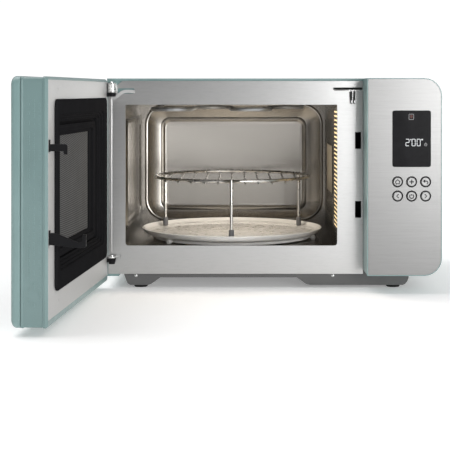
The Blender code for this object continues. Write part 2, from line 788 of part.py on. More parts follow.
def make_door_bezel(door):
    back = DOOR_OUTSIDE + BEZEL_DEPTH
    shell = round_rim(extruded(door_outline(0, 9), DOOR_OUTSIDE, back), DOOR_OUTSIDE, 6.5, 4,
                      clamp=False)
    bezel = add_object("door_bezel", shell, teal_paint(), door)
    glass_bed = box((29.7, DOOR_OUTSIDE - 2, 43.7), (326.3, DOOR_OUTSIDE + 4.5, 276.3))
    opening = box((44, DOOR_OUTSIDE - 2, 58), (312, back + 2, 262))
    hollow = box((1, DOOR_OUTSIDE + 8, 16), (364, back + 2, 304))
    cut(bezel, glass_bed, hollow, opening)


def make_door_glass(door):
    pane = box((30, DOOR_OUTSIDE + 0.6, 44), (326, DOOR_OUTSIDE + 4.2, 276), 0.6, 1)
    add_object("door_glass", pane, black_glass(), door)


def make_door_frame(door):
    back = DOOR_OUTSIDE + BEZEL_DEPTH + GAP
    ring = extruded(door_outline(0.4, 5), back, DOOR_INSIDE,
                    holes=[rounded_rectangle((-3.4, 19), (368.6, 306.5), (0,) * 4)])
    frame = add_object("door_frame", ring, teal_paint(), door)
    corner = [(DOOR_FREE_END - 2.8, DOOR_INSIDE), (DOOR_FREE_END + 2, DOOR_INSIDE - 4.8),
              (DOOR_FREE_END + 2, DOOR_INSIDE + 2), (DOOR_FREE_END - 2.8, DOOR_INSIDE + 2)]
    cut(frame, extruded(corner, DOOR_BOTTOM - 2, DOOR_TOP + 2, "Z"))


def make_door_inner_panel(door):
    outline = rounded_rectangle((-3.1, 19.3), (368.3, 306.2), (0,) * 4)
    holes = [rounded_rectangle((24, 58), (329, 274), (8,) * 4, 3),
             rounded_rectangle((361.7, 217.5), (366.3, 232.5), (0,) * 4),
             rounded_rectangle((361.7, 106.0), (366.3, 125.5), (0,) * 4)]
    panel = extruded(outline, DOOR_INSIDE - SHEET, DOOR_INSIDE, holes=holes)
    add_object("door_inner_panel", panel, satin_steel(), door)


def make_choke_cover(door):
    face, bed, floor = DOOR_INSIDE + 3.5, DOOR_INSIDE + GAP, DOOR_INSIDE - 12.5
    flange = extruded(rounded_rectangle((16, 48.7), (337, 282.7), (10,) * 4, 4), bed, face)
    cover = add_object("choke_cover", round_rim(flange, face, 2, 2), black_plastic(), door)
    tub = extruded(rounded_rectangle((24.4, 58.4), (328.6, 273.6), (7,) * 4, 3),
                   floor - 2.2, bed + 1)
    rim = rounded_rectangle((30.5, 71.4), (320, 263.4), (10,) * 4, 4)
    ridge_outside = rounded_rectangle((50, 83), (303, 250), (8,) * 4, 3)
    ridge_inside = rounded_rectangle((60, 91), (293, 242), (6,) * 4, 3)
    recess = extruded(rim, floor + 5, 5)
    groove = extruded(rim, floor, floor + 6, holes=[ridge_outside])
    bed_of_window = extruded(ridge_inside, floor, floor + 6)
    window = extruded(rounded_rectangle((69, 97.5), (284, 235.5), (1,) * 4, 2), floor - 5, 5)
    join(cover, tub)
    cut(cover, recess, groove, bed_of_window, window)


def make_mesh_screen(door):
    back = DOOR_INSIDE - 12.5 - 2.2 - GAP
    add_object("mesh_screen", box((60, back - 0.8, 88), (293, back, 245)),
               material("perforated_steel", (0.08, 0.08, 0.08), 0.45, 0.8), door)


def make_latch_hooks(door):
    """Each hook is a flat slide behind the panel with its arm through a slot."""
    base = DOOR_INSIDE - 1.5
    upper = [(base - 12, 213), (base, 213), (base, 220.8), (10.5, 221), (11.6, 217.2),
             (15.6, 217.2), (15.6, 227.6), (14, 229.2), (base, 229.2), (base, 237),
             (base - 12, 237)]
    lower = [(base - 12, 101), (base, 101), (base, 109.6), (24, 106.4), (35.5, 106.2),
             (38, 108), (38, 122), (34, 122), (33, 112.6), (28, 112.4), (6, 121.5),
             (-2, 123.4), (base, 123.4), (base, 131), (base - 12, 131)]
    flange_x = (HOOK_X - 2.8, HOOK_X + 2.8)
    spans = {"upper": (upper, 219.8, 234.6), "lower": (lower, 108.6, 126.5)}
    for name, (outline, low, high) in spans.items():
        arm = extruded(outline, HOOK_X - HOOK_THICK / 2, HOOK_X + HOOK_THICK / 2, "X")
        hook = add_object(f"latch_hook_{name}", arm, black_plastic(), door)
        join(hook, box((flange_x[0], DOOR_INSIDE + GAP, low),
                       (flange_x[1], DOOR_INSIDE + 1.2, high)))


def make_latch_springs(door):
    """A coil above the upper slide and one below the lower slide, pressing towards it."""
    turns, steps, radius, wire = 4, 6, 2.0, 0.45
    for name, low, high in (("upper", 238.0, 256.0), ("lower", 82.0, 100.0)):
        points = []
        for step in range(turns * steps + 1):
            angle = 2 * math.pi * step / steps
            rise = low + (high - low) * step / (turns * steps)
            points.append((HOOK_X + radius * math.cos(angle),
                           DOOR_INSIDE - 7.5 + radius * math.sin(angle), rise))
        spring = add_object(f"latch_spring_{name}", tube(points, wire), chrome(), door)
        shade_round(spring)


# ---------------------------------------------------------------- assembly

def centre_on_floor(root):
    """Shift the whole oven so that the origin is under the middle of its box."""
    bpy.context.view_layer.update()
    graph = bpy.context.evaluated_depsgraph_get()
    corners = []
    for obj in bpy.data.collections["microwave_oven"].objects:
        if obj.type == "MESH":
            solid = obj.evaluated_get(graph)
            corners += [solid.matrix_world @ vert.co for vert in solid.data.vertices]
    low = [min(point[axis] for point in corners) for axis in range(3)]
    high = [max(point[axis] for point in corners) for axis in range(3)]
    root.location = (-(low[0] + high[0]) / 2, -(low[1] + high[1]) / 2, -low[2])


def main():
    clear_scene()
    root = empty("oven_origin", (0, 0, 0), None)
    door = empty("door_pivot", (AXIS_X, AXIS_Y, 0), root, -OPEN_DEG)
    table = empty("turntable_axis", (TABLE_X, TABLE_Y, 0), root)
    ring = empty("roller_ring_axis", (TABLE_X, TABLE_Y, 0), root)
    for make in (make_outer_cover, make_base_pan, make_rear_panel, make_cord_gland,
                 make_feet, make_base_screws, make_front_fascia, make_oven_cavity,
                 make_waveguide_cover, make_grill_heater, make_cavity_lamp, make_magnetron,
                 make_waveguide, make_transformer, make_capacitor, make_mains_filter,
                 make_cooling_fan, make_latch_housing, make_interlock_switch,
                 make_control_housing, make_control_fascia, make_display_window,
                 make_button_carrier, make_control_board, make_buttons,
                 make_turntable_motor, make_hinge_brackets):
        make(root)
    for make in (make_turntable_plate, make_drive_coupler, make_wire_rack, make_rack_feet):
        make(table)
    make_roller_ring(ring)
    make_rollers(ring)
    for make in (make_hinge_bushes, make_door_bezel, make_door_glass, make_door_frame,
                 make_door_inner_panel, make_choke_cover, make_mesh_screen,
                 make_latch_hooks, make_latch_springs):
        make(door)
    centre_on_floor(root)


main()
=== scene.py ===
"""The looks of a countertop microwave oven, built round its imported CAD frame.

The oven stands on a pale floor with its door open, seen level from the front. Lengths written
in millimetres are turned into Blender's metres by mm(). X runs along the front to the right,
Y into the oven and Z up. The CAD nodes keep their shapes and get their finishes here. Where a
surface needs finer shapes than the CAD has, a piece of this script stands for the node.
"""

import json
import math
import random

import bmesh
import bpy
from mathutils import Matrix, Vector

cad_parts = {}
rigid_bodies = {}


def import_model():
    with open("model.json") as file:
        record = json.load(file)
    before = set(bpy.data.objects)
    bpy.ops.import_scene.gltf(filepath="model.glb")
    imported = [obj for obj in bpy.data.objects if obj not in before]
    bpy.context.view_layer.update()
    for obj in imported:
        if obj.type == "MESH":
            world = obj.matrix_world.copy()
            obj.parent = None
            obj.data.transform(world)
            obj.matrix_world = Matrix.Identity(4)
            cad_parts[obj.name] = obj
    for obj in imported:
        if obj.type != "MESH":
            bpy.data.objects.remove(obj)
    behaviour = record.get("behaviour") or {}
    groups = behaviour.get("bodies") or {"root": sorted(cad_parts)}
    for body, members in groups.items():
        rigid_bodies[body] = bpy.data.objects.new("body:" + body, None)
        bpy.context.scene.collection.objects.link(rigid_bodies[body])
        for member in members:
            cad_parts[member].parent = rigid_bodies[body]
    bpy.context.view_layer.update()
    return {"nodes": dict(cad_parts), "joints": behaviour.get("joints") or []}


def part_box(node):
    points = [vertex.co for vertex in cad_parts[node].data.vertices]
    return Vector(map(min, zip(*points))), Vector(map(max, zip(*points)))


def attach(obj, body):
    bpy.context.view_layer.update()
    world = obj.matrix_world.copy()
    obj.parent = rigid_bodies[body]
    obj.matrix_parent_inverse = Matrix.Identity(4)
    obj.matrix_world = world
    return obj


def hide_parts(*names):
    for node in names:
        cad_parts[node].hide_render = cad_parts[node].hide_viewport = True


for startup_object in list(bpy.data.objects):
    bpy.data.objects.remove(startup_object)
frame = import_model()

MM = 0.001


def mm(*values):
    """Millimetres as metres: one number, or a vector of several."""
    if len(values) == 1:
        return values[0] * MM
    return Vector(values) * MM


def across(x):
    """The X of a place that many millimetres right of the cabinet's middle."""
    return CASE_X + mm(x)


# ---------------------------------------------------------------- places taken from the frame

FASCIA_LOW, FASCIA_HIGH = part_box("front_fascia")
CAVITY_LOW, CAVITY_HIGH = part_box("oven_cavity")
DISPLAY_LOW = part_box("display_window")[0]
PLATE_LOW, PLATE_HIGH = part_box("turntable_plate")
COVER_LOW, COVER_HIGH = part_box("outer_cover")
HINGE = next(joint for joint in frame["joints"] if joint["name"] == "door_hinge")
HINGE_AXIS = Vector(HINGE["pos_m"])
FACE_Y = FASCIA_LOW.y + mm(1.2)  # the front plate's flat; its rolled rim stands 1.2 mm proud
SHEET = mm(1.2)
CASE_X = FASCIA_LOW.x + mm(242.5)  # the cabinet's middle
TABLE = (PLATE_LOW + PLATE_HIGH) / 2


def door_place():
    """The frame the door was drawn in: X from the hinge axis to the free end, Y inwards."""
    turn = Matrix.Rotation(math.radians(HINGE["range_deg"][0]), 4, "Z")
    return Matrix.Translation((HINGE_AXIS.x, HINGE_AXIS.y, 0)) @ turn


# ---------------------------------------------------------------- shading helpers

def new_shader(name, colour, roughness, metallic=0.0, **sockets):
    """A Principled material; further sockets are named with _ for a space."""
    material = bpy.data.materials.new(name)
    material.use_nodes = True
    shader = material.node_tree.nodes["Principled BSDF"]
    shader.inputs["Base Color"].default_value = (*colour, 1)
    shader.inputs["Roughness"].default_value = roughness
    shader.inputs["Metallic"].default_value = metallic
    for socket, value in sockets.items():
        shader.inputs[socket.replace("_", " ")].default_value = value
    return material, material.node_tree, shader


def noise(tree, scale, stretch=(1, 1, 1), detail=3.0, offset=0.0):
    """Noise fixed to the piece: scale is waves per metre, stretch multiplies it along X, Y, Z."""
    place = tree.nodes.new("ShaderNodeTexCoord")
    mapping = tree.nodes.new("ShaderNodeMapping")
    mapping.inputs["Scale"].default_value = stretch
    mapping.inputs["Location"].default_value = (offset, offset, offset)
    pattern = tree.nodes.new("ShaderNodeTexNoise")
    pattern.inputs["Scale"].default_value = scale
    pattern.inputs["Detail"].default_value = detail
    tree.links.new(place.outputs["Object"], mapping.inputs["Vector"])
    tree.links.new(mapping.outputs["Vector"], pattern.inputs["Vector"])
    return pattern.outputs["Fac"]


def ranged(tree, value, low, high, start=0.3, end=0.7):
    """Value from start...end moved to low...high, and held there outside it."""
    node = tree.nodes.new("ShaderNodeMapRange")
    for socket, number in zip(("From Min", "From Max", "To Min", "To Max"),
                              (start, end, low, high)):
        node.inputs[socket].default_value = number
    tree.links.new(value, node.inputs["Value"])
    return node.outputs["Result"]


def mixed(tree, factor, first, second):
    """Colour first at factor 0 and second at 1; each is a colour or a socket."""
    node = tree.nodes.new("ShaderNodeMix")
    node.data_type = "RGBA"
    tree.links.new(factor, node.inputs["Factor"])
    for socket, colour in ((node.inputs[6], first), (node.inputs[7], second)):
        if isinstance(colour, bpy.types.NodeSocket):
            tree.links.new(colour, socket)
        else:
            socket.default_value = (*colour, 1)
    return node.outputs[2]


def add_bump(tree, shader, height, distance, strength=1.0):
    """Relief of that height in metres, laid over any relief already there."""
    bump = tree.nodes.new("ShaderNodeBump")
    bump.inputs["Distance"].default_value = distance
    bump.inputs["Strength"].default_value = strength
    tree.links.new(height, bump.inputs["Height"])
    before = shader.inputs["Normal"].links
    if before:
        tree.links.new(before[0].from_socket, bump.inputs["Normal"])
    tree.links.new(bump.outputs["Normal"], shader.inputs["Normal"])


def edge_mask(tree, radius):
    """1 at sharp edges and 0 on flats, from how far a rounded normal leans from the true one."""
    rounded = tree.nodes.new("ShaderNodeBevel")
    rounded.samples = 4
    rounded.inputs["Radius"].default_value = radius
    plain = tree.nodes.new("ShaderNodeNewGeometry")
    dot = tree.nodes.new("ShaderNodeVectorMath")
    dot.operation = "DOT_PRODUCT"
    tree.links.new(rounded.outputs["Normal"], dot.inputs[0])
    tree.links.new(plain.outputs["True Normal"], dot.inputs[1])
    return ranged(tree, dot.outputs["Value"], 0, 1, 0.97, 0.78)


def times(tree, first, second):
    node = tree.nodes.new("ShaderNodeMath")
    node.operation = "MULTIPLY"
    tree.links.new(first, node.inputs[0])
    tree.links.new(second, node.inputs[1])
    return node.outputs["Value"]


def shade(colour, factor):
    return tuple(min(1.0, channel * factor) for channel in colour)


# ---------------------------------------------------------------- finishes

def painted(name, colour, roughness=0.38, wear=1.5):
    """Sprayed enamel: faint orange peel, patchy gloss, and edges rubbed a little lighter."""
    material, tree, shader = new_shader(name, colour, roughness, Coat_Weight=0.25,
                                        Coat_Roughness=0.12)
    patches = ranged(tree, noise(tree, 22), 0, 1)
    body = mixed(tree, patches, shade(colour, 0.965), shade(colour, 1.03))
    rubbed = times(tree, edge_mask(tree, mm(0.8)), ranged(tree, noise(tree, 160), 0.25, 0.8))
    tree.links.new(mixed(tree, rubbed, body, shade(colour, wear)), shader.inputs["Base Color"])
    tree.links.new(ranged(tree, noise(tree, 60, offset=3), roughness - 0.05, roughness + 0.06),
                   shader.inputs["Roughness"])
    add_bump(tree, shader, noise(tree, 900, detail=2), mm(0.02), 0.5)
    return material


def moulded(name, colour, roughness=0.45, grain=1400, depth=0.03, shine=0.15, wear=0.02):
    """Moulded plastic or rubber: a fine spark-eroded grain and polished high spots, which with
    shine 0 are painted ridge highlights too.
    """
    material, tree, shader = new_shader(name, colour, roughness, Specular_IOR_Level=shine)
    patches = ranged(tree, noise(tree, 45), 0, 1)
    body = mixed(tree, patches, shade(colour, 0.94), shade(colour, 1.08))
    # Edges lighter: rubbed wear, and where shine is 0 also painted highlights on the ridges.
    rubbed = times(tree, edge_mask(tree, mm(0.6)), ranged(tree, noise(tree, 220), 0.2, 0.9))
    worn_and_sheen = tuple(channel * 1.25 + wear for channel in colour)
    tree.links.new(mixed(tree, rubbed, body, worn_and_sheen), shader.inputs["Base Color"])
    tree.links.new(ranged(tree, noise(tree, 90, offset=5), roughness - 0.08, roughness + 0.08),
                   shader.inputs["Roughness"])
    add_bump(tree, shader, noise(tree, grain, detail=2), mm(depth), 0.6)
    return material


def brushed(name, colour, roughness=0.32, along=(0.02, 1, 1), lines=2600, contrast=0.06,
            depth=0.001, metallic=1.0):
    """Brushed steel: fine hair lines, broader bands of them and burnished edges."""
    material, tree, shader = new_shader(name, colour, roughness, metallic)
    hair = noise(tree, lines, along, detail=2)
    bands = noise(tree, lines / 3, along, detail=2, offset=7)
    body = mixed(tree, ranged(tree, bands, 0, 1), shade(colour, 1 - contrast),
                 shade(colour, 1 + contrast))
    lined = mixed(tree, ranged(tree, hair, 0, 1), body, shade(colour, 1 + contrast))
    burnished = times(tree, edge_mask(tree, mm(0.7)), ranged(tree, noise(tree, 300), 0.3, 1))
    tree.links.new(mixed(tree, burnished, lined, shade(colour, 1.3)), shader.inputs["Base Color"])
    gloss = ranged(tree, noise(tree, 25, detail=0), roughness - 0.006, roughness + 0.006, 0, 1)
    tree.links.new(gloss, shader.inputs["Roughness"])
    add_bump(tree, shader, hair, mm(depth), 0.3)
    return material


def polished(name, colour=(0.72, 0.72, 0.71), roughness=0.12, ripple=0.003, metallic=1.0):
    """Plated or drawn bright metal: slight waviness, fine scratches and smudged gloss."""
    material, tree, shader = new_shader(name, colour, roughness, metallic)
    smudges = noise(tree, 70, detail=5)
    tree.links.new(mixed(tree, ranged(tree, smudges, 0, 1), shade(colour, 0.92), colour),
                   shader.inputs["Base Color"])
    tree.links.new(ranged(tree, smudges, roughness * 0.7, roughness * 1.5),
                   shader.inputs["Roughness"])
    add_bump(tree, shader, noise(tree, 420, detail=2), mm(ripple), 0.3)
    return material


def galvanised(name, colour):
    """Zinc-coated sheet: crystal spangle in its tone and gloss."""
    material, tree, shader = new_shader(name, colour, 0.42, 0.9)
    place = tree.nodes.new("ShaderNodeTexCoord")
    spangle = tree.nodes.new("ShaderNodeTexVoronoi")
    spangle.inputs["Scale"].default_value = 150
    tree.links.new(place.outputs["Object"], spangle.inputs["Vector"])
    grey = tree.nodes.new("ShaderNodeRGBToBW")
    tree.links.new(spangle.outputs["Color"], grey.inputs["Color"])
    tree.links.new(mixed(tree, grey.outputs["Val"], shade(colour, 0.86), shade(colour, 1.12)),
                   shader.inputs["Base Color"])
    tree.links.new(ranged(tree, grey.outputs["Val"], 0.36, 0.5, 0, 1), shader.inputs["Roughness"])
    add_bump(tree, shader, noise(tree, 500), mm(0.02), 0.4)
    return material


def smoked_glass(name, colour, roughness=0.12):
    """Dark glass with little shine: a cloudy haze and a faint rolled waviness."""
    material, tree, shader = new_shader(name, colour, roughness, Specular_IOR_Level=0.025)
    haze = noise(tree, 55, detail=6)
    tree.links.new(mixed(tree, ranged(tree, haze, 0, 1), colour, shade(colour, 1.5)),
                   shader.inputs["Base Color"])
    tree.links.new(ranged(tree, haze, roughness, roughness + 0.07), shader.inputs["Roughness"])
    add_bump(tree, shader, noise(tree, 30, detail=1), mm(0.03), 0.3)
    return material


def table_glass(name):
    """Tempered table glass: pale and milky, a little clear, with a pressed texture."""
    material, tree, shader = new_shader(name, (0.9, 0.9, 0.88), 0.08, IOR=1.47,
                                        Transmission_Weight=0.3, Coat_Weight=0.3)
    swirl = noise(tree, 120, detail=4)
    tree.links.new(mixed(tree, ranged(tree, swirl, 0, 1), (0.87, 0.855, 0.83), (0.91, 0.9, 0.88)),
                   shader.inputs["Base Color"])
    tree.links.new(ranged(tree, swirl, 0.05, 0.22), shader.inputs["Roughness"])
    add_bump(tree, shader, noise(tree, 350, detail=2), mm(0.02), 0.5)
    return material


def rows(tree, direction, pitch_mm):
    """A sine that repeats at that pitch along the direction, in the piece's own space."""
    place = tree.nodes.new("ShaderNodeTexCoord")
    dot = tree.nodes.new("ShaderNodeVectorMath")
    dot.operation = "DOT_PRODUCT"
    dot.inputs[1].default_value = Vector(direction) * (2 * math.pi / mm(pitch_mm))
    tree.links.new(place.outputs["Object"], dot.inputs[0])
    wave = tree.nodes.new("ShaderNodeMath")
    wave.operation = "SINE"
    tree.links.new(dot.outputs["Value"], wave.inputs[0])
    return wave.outputs["Value"]


def punched(name):
    """The window's dark sheet, whose slightly slanting rows of fine holes look paler."""
    material, tree, shader = new_shader(name, (0.05, 0.05, 0.05), 0.6, 0.0,
                                        Specular_IOR_Level=0.012)
    up = ranged(tree, rows(tree, (0, 0.19, 1), 2.5), 0, 1, -0.8, 0.8)
    along = ranged(tree, rows(tree, (0, 1, 0), 2.4), 0.35, 1, -0.6, 0.6)
    holes = times(tree, up, along)
    patches = ranged(tree, noise(tree, 26), 0.85, 1.1)
    tone = mixed(tree, times(tree, holes, patches), (0.035, 0.035, 0.035), (0.155, 0.155, 0.155))
    tree.links.new(tone, shader.inputs["Base Color"])
    add_bump(tree, shader, holes, mm(0.15), 0.5)
    return material


def glowing(name, colour, strength):
    """A lit face, mottled so that it isn't one flat colour."""
    material, tree, shader = new_shader(name, shade(colour, 0.4), 0.5,
                                        Emission_Strength=strength)
    tone = mixed(tree, ranged(tree, noise(tree, 250), 0, 1), shade(colour, 0.82), colour)
    tree.links.new(tone, shader.inputs["Emission Color"])
    return material


TEAL = (0.205, 0.312, 0.308)
STEEL = (0.44, 0.44, 0.437)
DARK = (0.012, 0.012, 0.013)
PAINT = painted("teal_enamel", TEAL)
# The teal enamel darkened to 0.82 as painted shade for the door's sides.
SIDE_PAINT_SHADED = painted("teal_enamel_sides_painted_shade", shade(TEAL, 0.82))
TEAL_PLASTIC = painted("teal_moulding", TEAL, 0.42)
FRONT_STEEL = brushed("satin_steel_front", STEEL, 0.28, (0.12, 1, 1), 1100, 0.045, 0.0)
PANEL_STEEL = brushed("brushed_steel_panel", (0.197, 0.197, 0.195), 0.31, (0.03, 1, 1), 1800, 0.06)
DOOR_STEEL = brushed("satin_steel_door", (0.50, 0.50, 0.497), 0.5, (1, 0.12, 1), 2200, 0.03,
                     metallic=0.5)
OVEN_STEEL = brushed("oven_steel", (0.375, 0.355, 0.326), 0.26, (0.1, 0.1, 1), 2000, 0.025, 0.0002)
CHROME = polished("bright_chrome")
TAB_STEEL = polished("bent_tab_steel", (0.05, 0.05, 0.05), 0.4, metallic=0.6)
RACK_CHROME = polished("rack_chrome", (0.62, 0.60, 0.57), 0.24)
BUTTON_STEEL = brushed("button_steel", (0.25, 0.25, 0.248), 0.38, (0.1, 1, 1), 2000, 0.03)
BLACK = moulded("black_moulding", DARK, 0.4, 1400, 0.01, 0.06, 0.012)
# Satin black with no shine: its edges lightened by 0.04 are painted highlights on the ridges as
# well as wear.
SEAL_PAINTED_SHEEN = moulded("satin_black_moulding_painted_sheen", DARK, 0.42, 700, 0.002, 0.0, 0.04)
GLASS = smoked_glass("black_window_glass", DARK)
TABLE_GLASS = table_glass("table_glass")
ZINC = galvanised("zinc_sheet", (0.42, 0.43, 0.44))
PAN = painted("grey_base_enamel", (0.088, 0.088, 0.088), 0.5, 1.3)
SILICONE = moulded("grey_silicone", (0.13, 0.13, 0.135), 0.6)
RUBBER = moulded("black_rubber", (0.012, 0.012, 0.012), 0.7)
WHITE = moulded("white_moulding", (0.72, 0.71, 0.69), 0.4)
ICON = moulded("icon_grey", (0.022, 0.022, 0.023), 0.5)
RIM_GREY = moulded("button_rim_grey", (0.10, 0.10, 0.102), 0.5)
PUNCHED = punched("punched_screen")
DIGITS = glowing("display_white", (0.95, 0.97, 1.0), 0.95)
DIM_DIGITS = glowing("display_grey", (0.6, 0.6, 0.6), 0.35)
AMBER = glowing("warm_lamp_glow", (1.0, 0.76, 0.42), 1.3)

BY_CAD_MATERIAL = {
    "teal_paint": PAINT, "teal_plastic": TEAL_PLASTIC, "satin_steel": FRONT_STEEL,
    "oven_steel": OVEN_STEEL, "zinc_steel": ZINC, "chrome": CHROME, "black_plastic": BLACK,
    "black_glass": GLASS, "white_plastic": WHITE, "rubber": RUBBER, "silicone": SILICONE,
    "oven_glass": TABLE_GLASS,
    "aluminium": brushed("drawn_aluminium", (0.6, 0.6, 0.61), 0.35, (1, 0.1, 1)),
    "anode": polished("magnetron_anode", (0.55, 0.45, 0.38), 0.3),
    "lamp_glass": moulded("lamp_glass", (0.75, 0.66, 0.48), 0.15, 300, 0.01),
    "board_green": moulded("circuit_board", (0.02, 0.11, 0.05), 0.45, 500, 0.05),
    "red_plastic": moulded("red_moulding", (0.35, 0.02, 0.02), 0.4),
    "mica": moulded("mica", (0.14, 0.125, 0.10), 0.55, 250, 0.06),
}
BY_NODE = {
    "base_pan": PAN, "control_fascia": PANEL_STEEL, "door_inner_panel": DOOR_STEEL,
    "wire_rack": RACK_CHROME, "mesh_screen": PUNCHED,
    **{f"button_{number}": BUTTON_STEEL for number in range(1, 7)},
}
EDGE_MM = {"front_fascia": 0.25, "control_fascia": 0.25, "door_inner_panel": 0.25,
           "wire_rack": 0.0, "outer_cover": 0.4,
           "turntable_plate": 0.6, "base_pan": 1.0, "rear_panel": 0.25, "mesh_screen": 0.0,
           "latch_spring_upper": 0.0, "latch_spring_lower": 0.0}


def finish_nodes():
    """Every CAD node gets its finish, small rounded edges and smooth shading."""
    for name, node in frame["nodes"].items():
        cad_material = node.data.materials[0].name
        finish = BY_NODE.get(name) or BY_CAD_MATERIAL[cad_material]
        for slot in node.material_slots:
            slot.material = finish
        for face in node.data.polygons:
            face.use_smooth = True
        weld = node.modifiers.new("weld", "WELD")
        weld.merge_threshold = mm(0.004)
        flats = node.modifiers.new("flats", "DECIMATE")
        flats.decimate_type = "DISSOLVE"
        flats.angle_limit = math.radians(0.6)
        width = EDGE_MM.get(name, 0.3)
        if width:
            bevel = node.modifiers.new("edges", "BEVEL")
            bevel.width = mm(width)
            bevel.segments = 2
            bevel.limit_method = "ANGLE"
            bevel.angle_limit = math.radians(38)
        node.modifiers.new("normals", "WEIGHTED_NORMAL").keep_sharp = False


# ---------------------------------------------------------------- mesh helpers

def piece_from(bm, name, body, material, smooth_deg=32, place=None, weld=0.001):
    """A piece made of the bmesh, riding on the body, smooth but for edges sharper than that."""
    bmesh.ops.remove_doubles(bm, verts=bm.verts, dist=mm(weld))
    bmesh.ops.dissolve_degenerate(bm, dist=mm(weld), edges=bm.edges)
    mesh = bpy.data.meshes.new(name)
    if place:
        bm.transform(place)
    bm.to_mesh(mesh)
    bm.free()
    mesh.shade_smooth()
    mesh.set_sharp_from_angle(angle=math.radians(smooth_deg))
    mesh.materials.append(material)
    piece = bpy.data.objects.new(name, mesh)
    bpy.context.scene.collection.objects.link(piece)
    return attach(piece, body)


def outline(low, high, radius, steps=8):
    """Points round a rectangle with round corners; every outline of the same steps matches."""
    points = []
    corners = ((high[0], high[1], -1, -1), (low[0], high[1], 1, -1),
               (low[0], low[1], 1, 1), (high[0], low[1], -1, 1))
    for turn, (u, v, side_u, side_v) in enumerate(corners):
        for step in range(steps + 1):
            angle = math.radians(90 * (turn + step / steps))
            points.append((u + radius * (side_u + math.cos(angle)),
                           v + radius * (side_v + math.sin(angle))))
    return points


def inset(rectangle, amount):
    (low_u, low_v), (high_u, high_v) = rectangle
    return (low_u + amount, low_v + amount), (high_u - amount, high_v - amount)


def nested(bm, rings, place, filled=True, steps=8):
    """Skins neighbouring rings, each (rectangle, corner radius, height), and fills the last.

    place turns (u, v, height) in metres into a point.
    """
    loops = []
    for rectangle, radius, height in rings:
        points = outline(*rectangle, radius, steps)
        loops.append([bm.verts.new(place(u, v, height)) for u, v in points])
    skin(bm, loops)
    if filled:
        bm.faces.new(loops[-1])


def skin(bm, loops, closed=True):
    for first, second in zip(loops, loops[1:]):
        count = len(first)
        for k in range(count if closed else count - 1):
            following = (k + 1) % count
            bm.faces.new((first[k], first[following], second[following], second[k]))


def add_box(bm, low, high):
    """A box between its lowest and highest corners."""
    size = Vector(high) - Vector(low)
    middle = (Vector(high) + Vector(low)) / 2
    matrix = Matrix.Translation(middle) @ Matrix.Diagonal((*size, 1))
    bmesh.ops.create_cube(bm, size=1, matrix=matrix)


def bevelled(bm, width, segments=2):
    edges = [edge for edge in bm.edges if edge.calc_face_angle(0) > math.radians(30)]
    bmesh.ops.bevel(bm, geom=edges, offset=width, segments=segments, affect="EDGES",
                    clamp_overlap=True)


def turned(bm, profile, centre, towards_front=False, steps=48):
    """Spins (radius, height) points round an upright axis, or one that points to the front."""
    place = Matrix.Translation(centre)
    if towards_front:
        place = place @ Matrix.Rotation(math.radians(90), 4, "X")
    loops = []
    for radius, height in profile:
        loop = []
        for step in range(steps):
            angle = 2 * math.pi * step / steps
            point = Vector((radius * math.cos(angle), radius * math.sin(angle), height))
            loop.append(bm.verts.new(place @ point))
        loops.append(loop)
    skin(bm, loops)


def strip(bm, points, width, thickness, place):
    """A flat ribbon along a path in the u, v plane, standing thickness above it."""
    left, right = [], []
    for k, point in enumerate(points):
        before, after = points[max(k - 1, 0)], points[min(k + 1, len(points) - 1)]
        along = (Vector(after) - Vector(before)).normalized()
        side = Vector((-along.y, along.x)) * width / 2
        left.append(Vector(point) + side)
        right.append(Vector(point) - side)
    rows = []
    for row, height in ((left, 0), (left, thickness), (right, thickness), (right, 0)):
        rows.append([bm.verts.new(place(u, v, height)) for u, v in row])
    rows.append(rows[0])
    skin(bm, rows, closed=False)
    for end in (0, -1):
        bm.faces.new([row[end] for row in rows[:4]])


def bow(centre, radius, start_deg, end_deg, steps=10):
    """Points along an arc, from one angle to the other."""
    points = []
    for k in range(steps + 1):
        angle = math.radians(start_deg + (end_deg - start_deg) * k / steps)
        points.append((centre[0] + radius * math.cos(angle), centre[1] + radius * math.sin(angle)))
    return points


def facing_front(depth):
    """u is X, v is Z and height is towards the front, from the plane at that depth."""
    return lambda u, v, height: Vector((u, depth - height, v))


# ---------------------------------------------------------------- the oven's inside

INNER_LOW = CAVITY_LOW + Vector((SHEET, 0, SHEET))
INNER_HIGH = CAVITY_HIGH - Vector((SHEET, SHEET + mm(12), SHEET))  # the dish lies 12 mm deeper
FRONT_EDGE = FASCIA_HIGH.y + mm(0.1)
WALL = ((FRONT_EDGE, INNER_LOW.z), (INNER_HIGH.y, INNER_HIGH.z))


def pressed_panel(rectangle, radius, height):
    """Rings of a panel pressed out of a wall, with a flat rim round a lower middle."""
    steps = ((0, 0, 0), (1.6, 0.8, 0.35), (4.2, 2, 0.9), (5.6, 2.6, 1), (12, 4, 1),
             (13.4, 4.6, 0.9), (16, 5.4, 0.45), (17.6, 6, 0.4))
    return [(inset(rectangle, mm(inwards)), radius - mm(tighter), height * share)
            for inwards, tighter, share in steps]


def left_wall(bm):
    panel = ((mm(40), mm(82)), (INNER_HIGH.y - mm(6), mm(252)))
    rings = [(WALL, 0.0, 0.0), (inset(WALL, mm(3.5)), 0.0, 0.0)]
    rings += pressed_panel(panel, mm(10), mm(3.2))
    nested(bm, rings, lambda u, v, height: Vector((INNER_LOW.x + height, u, v)))


VENT = ((mm(39), mm(84)), (mm(95), mm(264)))


